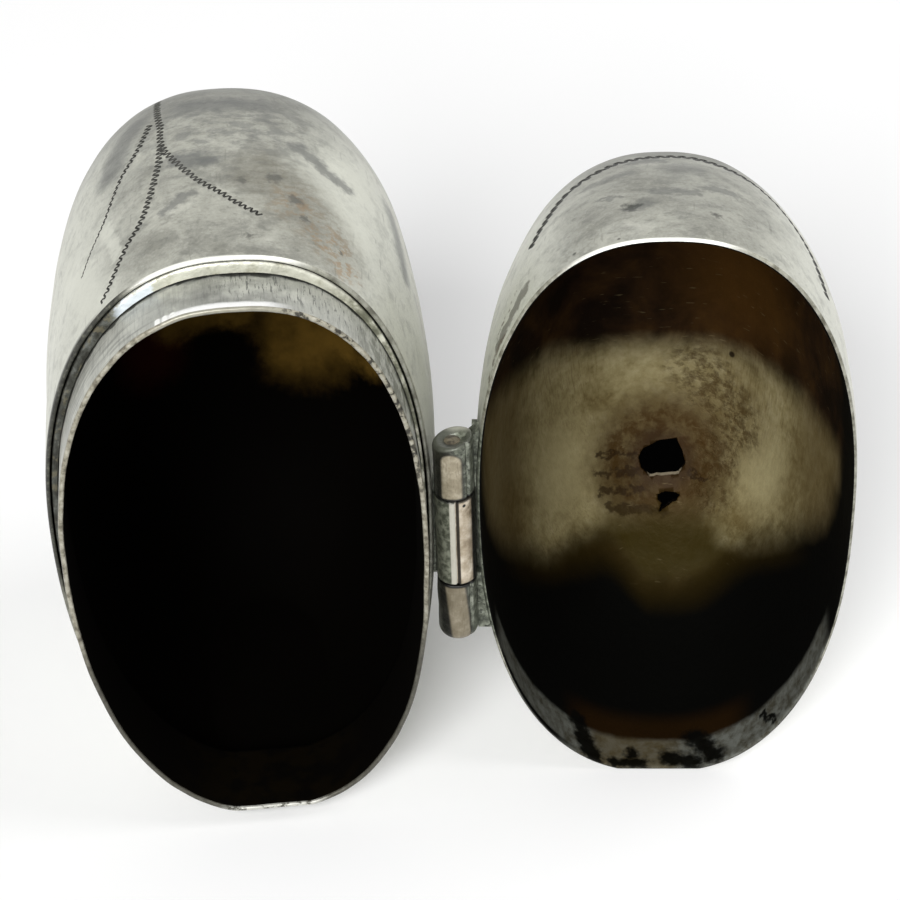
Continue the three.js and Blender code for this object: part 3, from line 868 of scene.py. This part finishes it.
def rubbed_band(g, mottle, drift):
    """The grey band rubbed bare inside the lid's lower edge, with its blots; the result is where it is."""
    below = g.level(g.plus(g.z, g.times(drift, 0.4)), -9.5, -12.5)
    g.paint((32, 18, 2), below, g.level(g.y, 6.2, 4.2), g.away(g.x, 0, 7.5, 5), 0.8)
    rubbed = g.times(below, g.level(g.plus(g.y, g.times(drift, 0.25)), 3.4, 2.7))
    grey = g.ramp(mottle, (0.35, (66, 64, 54)), (0.62, (104, 106, 100)))
    g.paint(g.over(grey, (78, 66, 38), g.away(g.x, -1.8, 4.6, 2), 0.6), rubbed)
    blots = g.marks(
        ((-6, 3.2, -21.6), (-4.9, 0.4, -22.3), 0.85, 0.35), ((-1.9, 1.4, -23.1), 0.7),
        ((-3.2, 0.5, -23), (-1.2, 0.5, -23.1), 0.6), ((0.8, 1, -23.1), (2.6, 0.6, -23.1), 0.8),
        ((2.8, 3.2, -23), (4.2, 0.8, -22.7), 0.85), ((7.7, 2.3, -20), (8.7, 0.6, -19), 0.35))
    g.paint(DARKEST, blots, 0.97)
    g.paint(DARKEST, g.level(g.y, 0.55, 0.2), g.level(g.x, -5, -8), below)
    return rubbed


def lid_inside():
    """Painted light inside the lid: olive where light reaches the crown, brown painted shade over it, a black
    painted reflection under it and a rubbed band below.
    """
    g = Graph("lid_inside", LID_PLACE)
    cloud = g.noise(4.5, 5, 0.6, shift=5, warp=0.4)
    mottle = g.noise(0.8, 5, 0.65, shift=8)
    drift = g.times(g.minus(cloud, 0.5), 4)
    lit, above_low, lit_low = lid_light(g, drift)
    olive, pits = olive_crown(g, cloud, mottle, drift)
    # Brown: painted shade that the top of the mouth casts over the crown, with a painted glow at its right.
    brown = g.ramp(cloud, (0.4, (18, 10, 4)), (0.52, (34, 21, 9)), (0.66, (50, 33, 13)))
    brown = g.over(brown, (72, 47, 14), g.spot((7, 24.5, 4), 5.5, 0.7), 0.6)
    # Black below the lower limit is a painted dark reflection on the lower wall; olive where the crown is
    # lit.
    g.colour = g.over(DARKEST, brown, lit_low)
    g.paint(olive, lit)
    # A painted brown glow along the lower limit of the lit crown, low down.
    stain_and_glow = g.times(g.level(above_low, -2.4, -0.2), g.level(above_low, 1.5, 0.2), g.level(g.z, -10, -15))
    g.paint((40, 30, 4), stain_and_glow, 0.5)
    rubbed = rubbed_band(g, mottle, drift)
    scratch = g.stroke((6, 25.4, -3.5), (7.3, 24.3, -2.5), 0.09, 0.4, True)
    fold_line = g.stroke((-4, 19.9, -16.5), (-8, 14.6, -16), 0.13, 0.5, True)
    g.paint((20, 12, 5), g.most(g.spot((6, 25.4, -3.5), 0.26, 0.3, True), scratch, fold_line), 0.9)
    fine = g.level(g.noise(0.1, 2, 0.5, (14, 14, 2), 41), 0.68, 0.74)
    g.paint((120, 108, 78), fine, 0.25, lit_low)
    roughness = g.blend(g.most(lit, rubbed), 0.8, 0.45)
    height = g.plus(g.times(mottle, 0.5), g.times(pits, -0.5))
    return g.finish(g.times(lit, 0.15), roughness, g.bump(height, 0.12), 0.05)


def ring_top():
    g = Graph("ring_silver", BODY_PLACE)
    wear = g.noise(1, 5, 0.65, shift=6)
    g.colour = g.ramp(wear, (0.36, (124, 122, 104)), (0.5, (172, 171, 152)), (0.64, (204, 204, 188)))
    root = g.add("ShaderNodeTexNoise", {"Vector": g.place, "Scale": 0.9, "Detail": 3}).outputs["Fac"]
    pale = g.times(g.level(g.z, 18.5, 21.5), g.level(root, 0.34, 0.5))
    g.paint((216, 216, 202), pale, 0.7)
    # Painted highlight on the ledge, blue-white.
    ledge_highlight = g.stroke((-6.9, 0, 20.1), (-5, 0, 21.6), 0.55, 0.3)
    g.paint((226, 234, 240), ledge_highlight)
    olive = g.times(g.level(g.x, 6, 9.5), g.level(wear, 0.66, 0.4))
    g.paint((92, 94, 78), olive, 0.8)
    left = g.level(g.x, -6.6, -7.8)
    grime = g.ramp(wear, (0.38, (22, 23, 19)), (0.52, (52, 54, 50)), (0.66, (92, 95, 92)))
    bits = g.level(g.noise(0.4, 4, 0.65, shift=67), 0.5, 0.6)
    grime = g.over(grime, (14, 14, 10), bits, 0.85)
    brown = g.level(g.noise(0.7, 4, 0.6, shift=71), 0.52, 0.62)
    grime = g.over(grime, (96, 90, 70), brown, 0.7)
    g.paint(grime, left, g.level(g.z, -8, -2), 0.95)
    g.paint((120, 118, 104), g.level(g.z, -2, -8))
    return g.finish(0.35, 0.38, g.bump(g.noise(0.5, 4), 0.1))


def solder():
    g = Graph("solder", BODY_PLACE)
    wear = g.noise(0.6, 4, 0.6, shift=9)
    g.colour = g.ramp(wear, (0.4, (16, 16, 13)), (0.62, (70, 70, 62)))
    return g.finish(0.2, 0.5)


def bezel_face():
    g = Graph("bezel_face", BODY_PLACE)
    cloud = g.noise(2, 5, 0.6, shift=12)
    g.colour = g.ramp(cloud, (0.36, (122, 123, 117)), (0.52, (152, 153, 146)), (0.66, (182, 183, 174)))
    flank = g.away(g.x, 0, 2, 7.5)
    g.paint((212, 213, 203), flank, 0.6)
    dashes = g.level(g.noise(0.14, 3, 0.6, (1, 7, 1), 17), 0.55, 0.64)
    right = g.level(g.x, -3.5, 1.5)
    root = g.level(g.plus(g.y, g.times(cloud, 2)), -1.9, -0.7)
    g.paint((70, 72, 70), dashes, right, g.blend(root, 0.4, 0.75))
    fine = g.level(g.noise(0.2, 3, 0.6, (1, 9, 1), 19), 0.5, 0.62)
    g.paint((104, 106, 103), fine, 0.25)
    wave = g.plus(g.y, g.times(g.noise(1.3, 3, 0.6, shift=51), 1.3))
    g.paint((40, 41, 36), g.level(wave, 0.45, 0.7), g.level(g.z, 8, 16), 0.85)
    left = g.level(g.x, -4, -6)
    long_lines = g.level(g.noise(0.5, 3, 0.6, (9, 0.6, 9), 21), 0.48, 0.64)
    g.paint((66, 67, 62), long_lines, left, 0.4)
    patches = g.noise(0.7, 4, 0.65, (1, 2, 1), 63)
    right_side = g.times(g.level(g.x, 7, 10.5), g.level(patches, 0.42, 0.58))
    g.paint((84, 86, 72), right_side, 0.8)
    # Painted highlight on the rounded front of the bezel, at the top.
    front = g.times(g.level(g.plus(g.y, g.times(cloud, 0.4)), -2.75, -3.05), g.top(-0.2, 5, 2.5))
    g.paint((248, 248, 246), front, 0.95)
    tick_places = (-4.4, 21.4), (-3.9, 21.6), (-3.4, 21.85)
    ticks = g.marks(*[((x, -3.8, z), (x, -3.2, z), 0.2, 0.3) for x, z in tick_places], tight=True)
    g.paint((244, 244, 240), ticks)
    return g.finish(0.25, g.blend(front, 0.42, 0.22), g.bump(g.noise(0.2, 4, 0.6, (1, 5, 1), 17), 0.05))


def bezel_edge():
    g = Graph("bezel_edge", BODY_PLACE)
    nicks = g.noise(0.5, 4, 0.6, shift=19)
    g.colour = g.ramp(nicks, (0.36, (96, 91, 78)), (0.5, (142, 138, 122)), (0.66, (172, 169, 155)))
    g.paint((150, 148, 134), g.top(-0.2, 5, 2.5), 0.8)
    right = g.times(g.level(g.x, 2.5, 5), g.level(nicks, 0.5, 0.42), g.level(g.z, 4, 10))
    g.paint((34, 33, 28), right, 0.85)
    g.paint((58, 57, 50), g.level(g.z, -2, -9), 0.85)
    foot = g.times(g.level(g.z, -21.2, -22.2), g.away(g.x, 0, 7, 5), g.level(nicks, 0.4, 0.52))
    g.paint((222, 222, 214), foot)
    return g.finish(0.35, 0.38, g.bump(nicks, 0.04))


def dark_inside(name):
    g = Graph(name, BODY_PLACE)
    cloud = g.noise(2, 4)
    low = g.times(g.level(g.z, -18, -22), g.level(cloud, 0.4, 0.6))
    # Painted black shade inside the bezel, a little browner low down.
    g.colour = g.over(INSIDE_SHADE, (14, 9, 2), low, 0.5)
    return g.finish(0, 0.8, gloss=0.03)


def engraved():
    g = Graph("engraved_cut", BODY_PLACE)
    g.colour = (40, 40, 35)
    return g.finish(0.3, 0.5)


def hole_wall():
    g = Graph("hole_wall", LID_PLACE)
    # Painted highlight on the lower cut face of the large hole, which faces up.
    lip_highlight = g.stroke((-0.1, 23.9, -14.1), (2, 23.9, -13.9), 0.32, 0.5)
    g.colour = g.over((16, 10, 4), (200, 186, 160), lip_highlight)
    return g.finish(0.5, 0.4)


def film():
    g = Graph("hole_shade_sheet", LID_PLACE)
    # Black painted shade for what is seen through the worn holes.
    g.colour = (2, 2, 2)
    return g.finish(0, 0.8, gloss=0)


def knuckle_silver():
    """Tan silver on the front of the two lid knuckles, rubbed and with a painted reflection, grime with
    painted shadow left of it and solder round the rest.
    """
    g = Graph("knuckle_silver", LID_HINGE_PLACE)
    cloud = g.noise(1.2, 5, 0.6, shift=25)
    tan = g.ramp(cloud, (0.36, (118, 109, 89)), (0.52, (146, 137, 116)), (0.66, (178, 169, 149)))
    scratches = g.level(g.noise(0.1, 3, 0.6, (1, 1, 9), 27), 0.55, 0.66)
    tan = g.over(tan, (100, 88, 68), scratches, 0.4)
    # Painted shade: the tan darker low down.
    tan = g.over(tan, (92, 84, 66), g.level(g.z, -2, -5), 0.5)
    # Left of the front: dark grime with painted shadow on the knuckles' shaded side.
    grime = g.ramp(cloud, (0.4, GRIME_AND_SHADE), (0.62, (48, 48, 39)))
    # A faint painted reflection down the shaded side.
    light = g.stroke((-1.2, -0.6, -9), (-1.2, -0.6, 8), 0.22, 0.5, True)
    grime = g.over(grime, (104, 105, 92), light, 0.2)
    g.colour = g.over(grime, old_solder(g), g.level(g.x, -0.3, 0.3))
    # The front: rubbed tan silver with a painted reflection, in a dark outline.
    upper, lower = ((-0.1, -1.3, 3.3), (-0.1, -1.3, 6.5)), ((-0.1, -1.3, -4.6), (0.3, -1.3, -9))
    outline = g.marks((*upper, 0.86, 0.16), (*lower, 0.86, 0.16), tight=True)
    g.paint((26, 24, 18), outline, 0.85)
    rubbed = g.marks((*upper, 0.7, 0.16), (*lower, 0.7, 0.16), tight=True)
    g.paint(tan, rubbed)
    ends = g.most(*[g.away(g.z, level, 0.34, 0.16) for level in KNUCKLE_LEVELS[1:3]])
    g.paint(GRIME_AND_SHADE, ends)
    # The top of the upper knuckle: dark in front, with a painted highlight along its back edge.
    slope = g.times(g.plus(g.x, KNUCKLE_RADIUS), KNUCKLE_SLOPE / (2 * KNUCKLE_RADIUS))
    crown = g.level(g.minus(g.z, slope), KNUCKLE_LEVELS[3] - 0.4, KNUCKLE_LEVELS[3] - 0.2)
    back = g.level(g.plus(g.y, g.times(g.x, 0.3)), 0.6, 1.2)
    top = g.over((80, 82, 72), (152, 152, 140), back)
    g.paint(top, crown)
    return g.finish(0.3, 0.38, g.bump(g.noise(0.4, 4), 0.08))


def middle_silver():
    g = Graph("middle_knuckle_silver", HINGE_PLACE)
    cloud = g.noise(1.2, 5, 0.6, shift=29)
    # The cream front is the barrel's silver with a painted reflection on it.
    g.colour = g.ramp(cloud, (0.36, (136, 122, 100)), (0.52, (172, 159, 138)), (0.66, (204, 194, 176)))
    plate = g.level(g.x, -0.3, -0.42)
    grey = g.ramp(g.noise(0.5, 4, 0.6, shift=57), (0.4, (74, 77, 64)), (0.6, (132, 135, 119)))
    g.paint(grey, plate)
    # Painted highlight beside the seam.
    seam_highlight = g.away(g.x, -0.3, 0.24, 0.16)
    g.paint((184, 181, 168), seam_highlight)
    seam = g.away(g.x, 0.06, 0.15, 0.08)
    g.paint((46, 40, 32), seam)
    # Painted shade on the right side, in the gap to the lid's plate.
    right = g.level(g.x, 0.98, 1.14)
    g.paint((14, 13, 10), right)
    dot = g.spot((0.55, -1.3, 2.75), 0.13, 0.3, True)
    g.paint((14, 12, 8), dot)
    ends = g.most(g.level(g.z, 2.98, 3.12), g.level(g.z, -4.08, -4.22))
    g.paint(GRIME_AND_SHADE, ends, 0.9)
    return g.finish(0.4, 0.36, g.bump(g.noise(0.4, 4), 0.08))


def plate_silver(name):
    g = Graph(name, HINGE_PLACE)
    g.colour = old_solder(g)
    return g.finish(0.3, 0.48, g.bump(g.noise(0.35, 4), 0.15))


def pin_silver():
    g = Graph("pin_silver", HINGE_PLACE)
    cloud = g.noise(0.5, 4, 0.6, shift=61)
    g.colour = g.ramp(cloud, (0.4, (58, 52, 40)), (0.6, (112, 104, 86)))
    return g.finish(0.4, 0.45, g.bump(g.noise(0.3, 4), 0.05))


# Pieces.

def make_shells():
    cut, wall = engraved(), hole_wall()
    body = shell("body_shell_fine", BODY, BODY_PLACE, [body_outside(), body_edge(), body_inside()],
                 BODY_DENTS, 1.0, RIM)
    lid = shell("lid_shell_fine", LID, LID_PLACE, [lid_outside(), lid_edge(), lid_inside()],
                LID_DENTS, 20.0, INSIDE)
    body_lines = [(STEM, BODY_PITCH, STEM_REACHES), (LEFT_SPRAY, BODY_PITCH, LEFT_REACHES),
                  (MIDDLE_SPRAY, BODY_PITCH, MIDDLE_REACHES)]
    for piece, lines in ((body, body_lines), (lid, [(GARLAND, LID_PITCH, LID_REACHES)])):
        points = [vertex.co / MM for vertex in piece.data.vertices]
        tree = BVHTree.FromPolygons(points, [face.vertices[:] for face in piece.data.polygons])
        cutters = []
        for seed, (corners, pitch, reaches) in enumerate(lines):
            cutters += engraving(piece, tree, corners, pitch, reaches, seed, cut)
        if piece is lid:
            cutters += [hole_cutter(piece, roughened(outline, seed), wall)
                        for seed, outline in enumerate((LARGE_HOLE, SMALL_HOLE))]
        cut_away(piece, cutters)
    stand_for(body, "body_shell", "body")
    stand_for(lid, "lid_shell", "lid")
    # Black sheets in the worn holes stand in for the shade seen through them.
    dark = film()
    for name, outline in (("large_hole_shade_sheet", LARGE_HOLE), ("small_hole_shade_sheet", SMALL_HOLE)):
        patch = shade_sheet(name, outline, dark)
        settle(patch)
        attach(patch, "lid")


def make_ring():
    outer, inner = even_inset(RING_INSET), more_inset(BEZEL_INSET, -SOLDER_GAP)
    corners = [({side: outer[side] + (inner[side] - outer[side]) * share for side in outer}, depth)
               for share, depth in RING_PROFILE]
    zones = [RIM] * 5 + [OUTSIDE] * 4
    ring = band("seat_ring_fine", corners, [ring_top(), solder()], zones, 0.0, 3.0)
    stand_for(ring, "seat_ring", "body")


def make_bezel():
    levels = list(np.linspace(BEZEL_SEAT, BEZEL_ROUND - BEZEL_PROUD, BEZEL_ROWS))
    corners = [(BEZEL_SHEET, depth) for depth in levels]
    corners += [(inset, depth - BEZEL_PROUD) for inset, depth in reversed(BEZEL_EDGE)]
    corners += [(0, depth) for depth in reversed(levels)]
    corners = [(more_inset(BEZEL_INSET, inset), depth) for inset, depth in corners]
    zones = [INSIDE] * (len(levels) - 1) + [RIM] * (len(BEZEL_EDGE) + 1)
    zones += [OUTSIDE] * (len(levels) - 1) + [INSIDE]
    materials = [bezel_face(), bezel_edge(), dark_inside("bezel_inside")]
    bezel = band("bezel_fine", corners, materials, zones, BEZEL_WAVE, 6.0)
    stand_for(bezel, "bezel", "body")


def make_hinge():
    outer = LID_SEAM, LID_HINGE_PLACE, [knuckle_silver()]
    middle = BODY_SEAM, HINGE_PLACE, [middle_silver()]
    bottom, lower, upper, top = KNUCKLE_LEVELS
    gap, soft = KNUCKLE_GAP, KNUCKLE_SOFT
    pieces = [("lid_lower_knuckle", "lid", (bottom, lower - gap, KNUCKLE_ROUND, soft, 0), outer),
              ("body_knuckle", "body", (lower + gap, upper - gap, soft, soft, 0), middle),
              ("lid_upper_knuckle", "lid", (upper + gap, top, soft, KNUCKLE_TOP_ROUND, KNUCKLE_SLOPE), outer)]
    for seed, (name, owner, shape, (seam, place, materials)) in enumerate(pieces):
        piece = barrel(name + "_fine", *shape, seam, place, materials, seed)
        stand_for(piece, name, owner)
    shown = {"body_hinge_plate": plate_silver("body_plate_silver"),
             "lid_hinge_plate": plate_silver("lid_plate_silver"), "hinge_pin": pin_silver()}
    for name, material in shown.items():
        node = frame["nodes"][name]
        node.data.materials.clear()
        node.data.materials.append(material)


# Floor, world, lamps and camera.

def make_world():
    world = bpy.data.worlds.new("studio")
    world.use_nodes = True
    nodes = Nodes(world.node_tree)
    background = world.node_tree.nodes["Background"]
    nodes.put(background.inputs["Color"], (1, 1, 1, 1))
    nodes.put(background.inputs["Strength"], nodes.blend(nodes.seen_directly(), ROOM_LIGHT, 1.0))
    bpy.context.scene.world = world


def make_floor():
    corners = [(x * FLOOR_REACH, y * FLOOR_REACH, 0) for x, y in ((-1, -1), (1, -1), (1, 1), (-1, 1))]
    mesh = bpy.data.meshes.new("floor")
    mesh.from_pydata(corners, [], [(0, 1, 2, 3)])
    floor = added("floor", mesh)
    material = bpy.data.materials.new("pale_paper")
    material.use_nodes = True
    nodes = Nodes(material.node_tree)
    nodes.tree.nodes.clear()
    paper = nodes.add("ShaderNodeBsdfDiffuse", {"Color": (PAPER, PAPER, PAPER, 1)})
    glow = nodes.add("ShaderNodeEmission", {"Strength": nodes.times(nodes.seen_directly(), PAPER_GLOW)})
    both = nodes.add("ShaderNodeAddShader", {0: paper.outputs[0], 1: glow.outputs[0]})
    nodes.add("ShaderNodeOutputMaterial", {0: both.outputs[0]})
    mesh.materials.append(material)


def make_lamp(name, place, side, power):
    light = bpy.data.lights.new(name, "AREA")
    light.shape = "SQUARE"
    light.size = side
    light.energy = power
    lamp = added(name, light)
    lamp.location = place
    lamp.rotation_euler = (Vector(LAMP_AIM) - Vector(place)).to_track_quat("-Z", "Y").to_euler()


def make_camera():
    data = bpy.data.cameras.new("camera")
    data.sensor_width = FILM_WIDTH
    data.lens = FOCAL_WIDTHS * FILM_WIDTH
    data.clip_start = NEAREST
    camera = added("camera", data)
    place, aim = [HINGE + Vector(point) * MM for point in (CAMERA_PLACE, CAMERA_AIM)]
    turn = (aim - place).to_track_quat("-Z", "Y").to_matrix().to_4x4()
    roll = Matrix.Rotation(math.radians(-CAMERA_ROLL), 4, "Z")
    camera.matrix_world = Matrix.Translation(place) @ turn @ roll
    bpy.context.scene.camera = camera


make_shells()
make_ring()
make_bezel()
make_hinge()
make_world()
make_floor()
for lamp_settings in LAMPS:
    make_lamp(*lamp_settings)
make_camera()
bpy.context.scene.view_settings.view_transform = "Standard"
